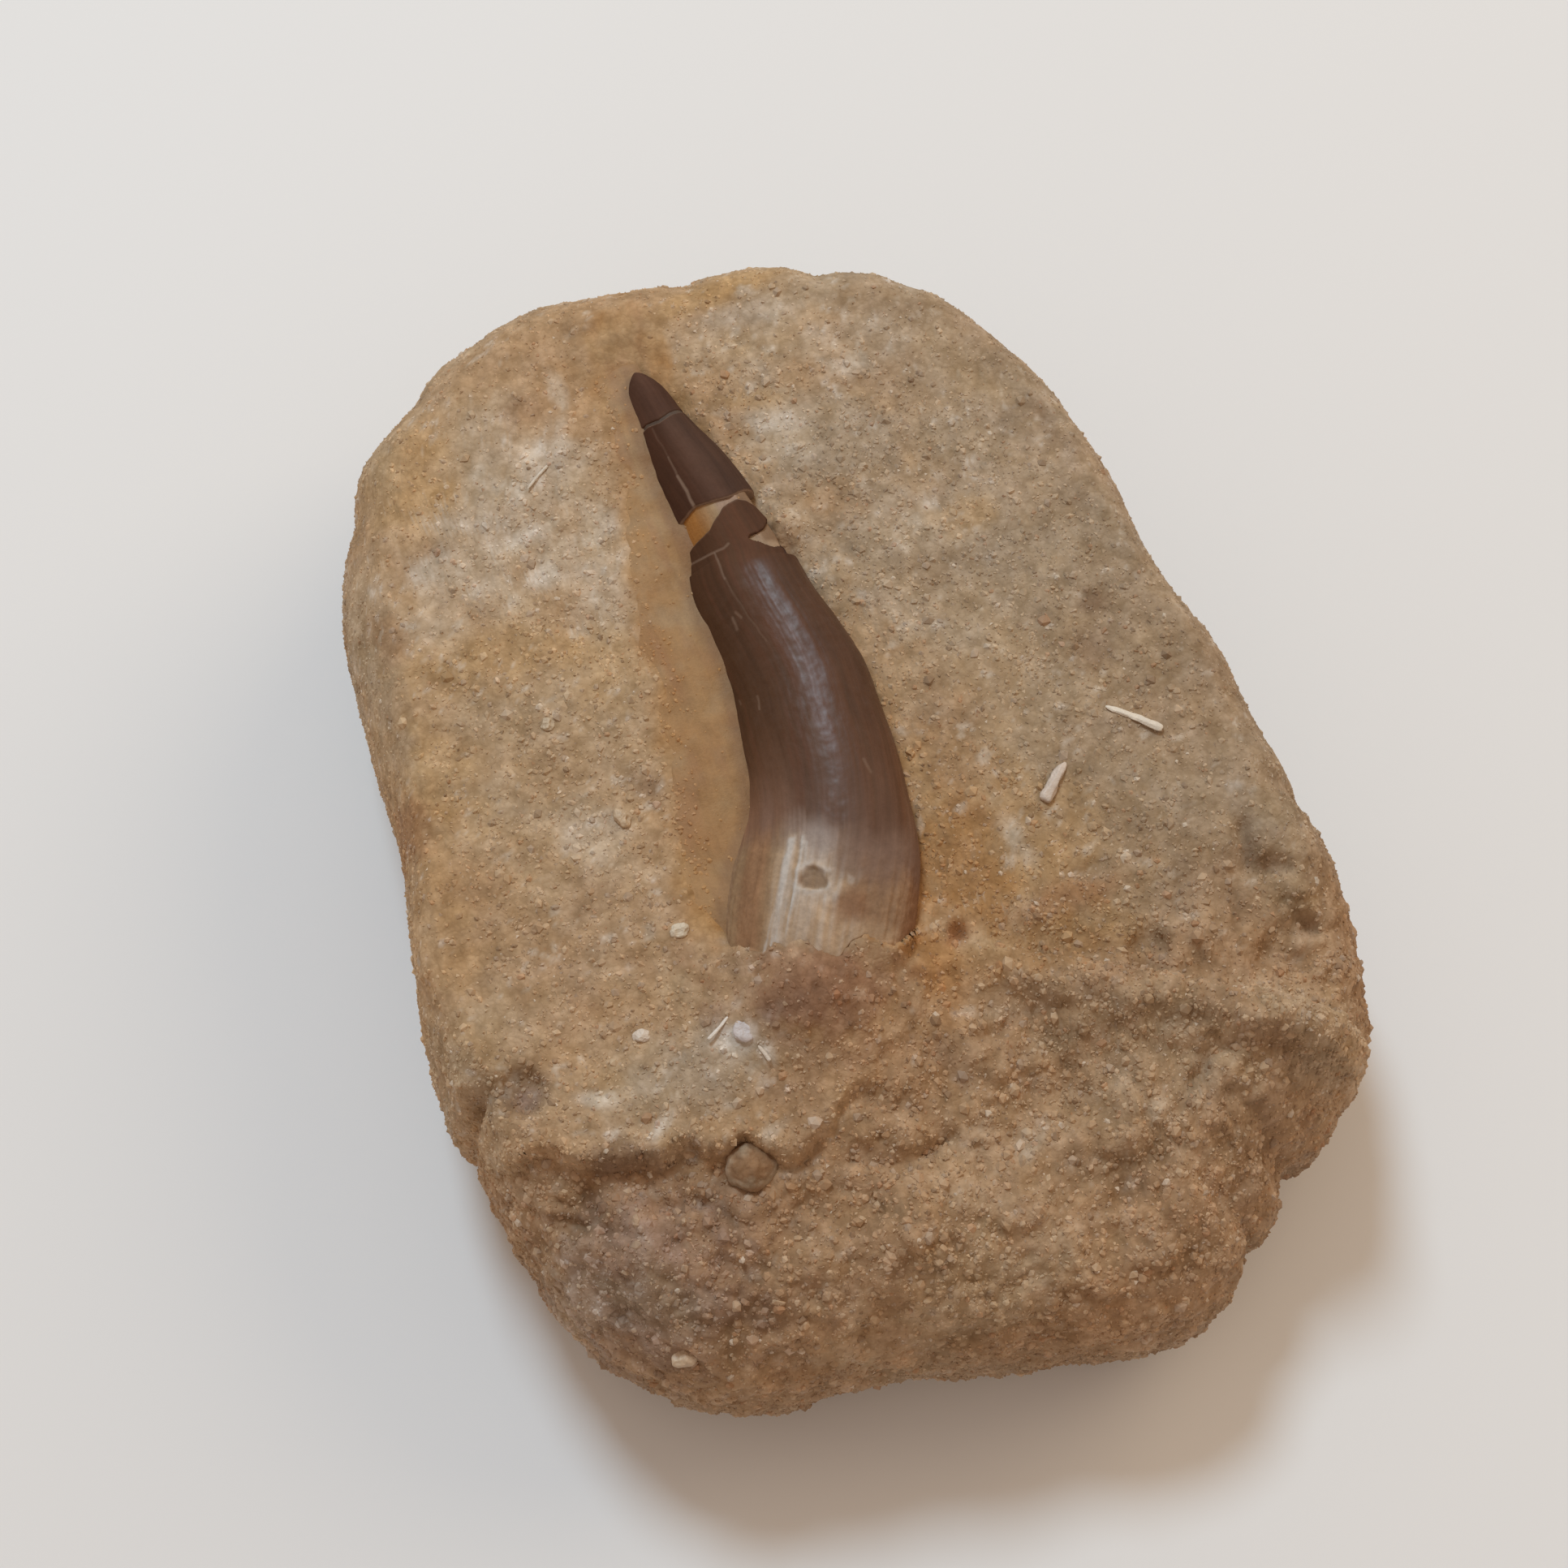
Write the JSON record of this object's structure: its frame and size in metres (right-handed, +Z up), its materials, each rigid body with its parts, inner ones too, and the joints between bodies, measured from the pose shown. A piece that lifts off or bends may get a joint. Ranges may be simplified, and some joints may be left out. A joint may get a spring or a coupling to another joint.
{
  "type": "fossil tooth in a matrix block",
  "caption": "Curved conical marine reptile tooth set half sunk in a rounded slab of sandy phosphate rock, resting on its flat underside.",
  "frame": {"origin": "middle of the slab's flat underside", "axes": "+Y along the slab's long axis, from the root end towards the tooth's tip; +Z up, away from the surface it rests on"},
  "size_m": [0.0672, 0.0903, 0.0291],
  "materials": {
    "matrix": "matte, granular",
    "putty": "matte, smoothed",
    "tooth": "glossy enamel with fine lengthwise striations",
    "bone": "matte",
    "pebble": "matte"
  },
  "bodies": {
    "root": {"matrix_stone": "matrix", "filler_putty": "putty", "tooth_tip": "tooth", "tooth_upper_crown": "tooth", "tooth_crown_and_root": "tooth", "bone_splinter_long": "bone", "bone_splinter_short": "bone", "bone_splinter_needle": "bone", "bone_flake": "bone", "bone_chip_root": "bone", "bone_chip_lower": "bone", "bone_chip_left": "bone", "bone_chip_middle": "bone", "bone_chip_bottom": "bone", "phosphate_pebble": "pebble"}
  },
  "joints": []
}
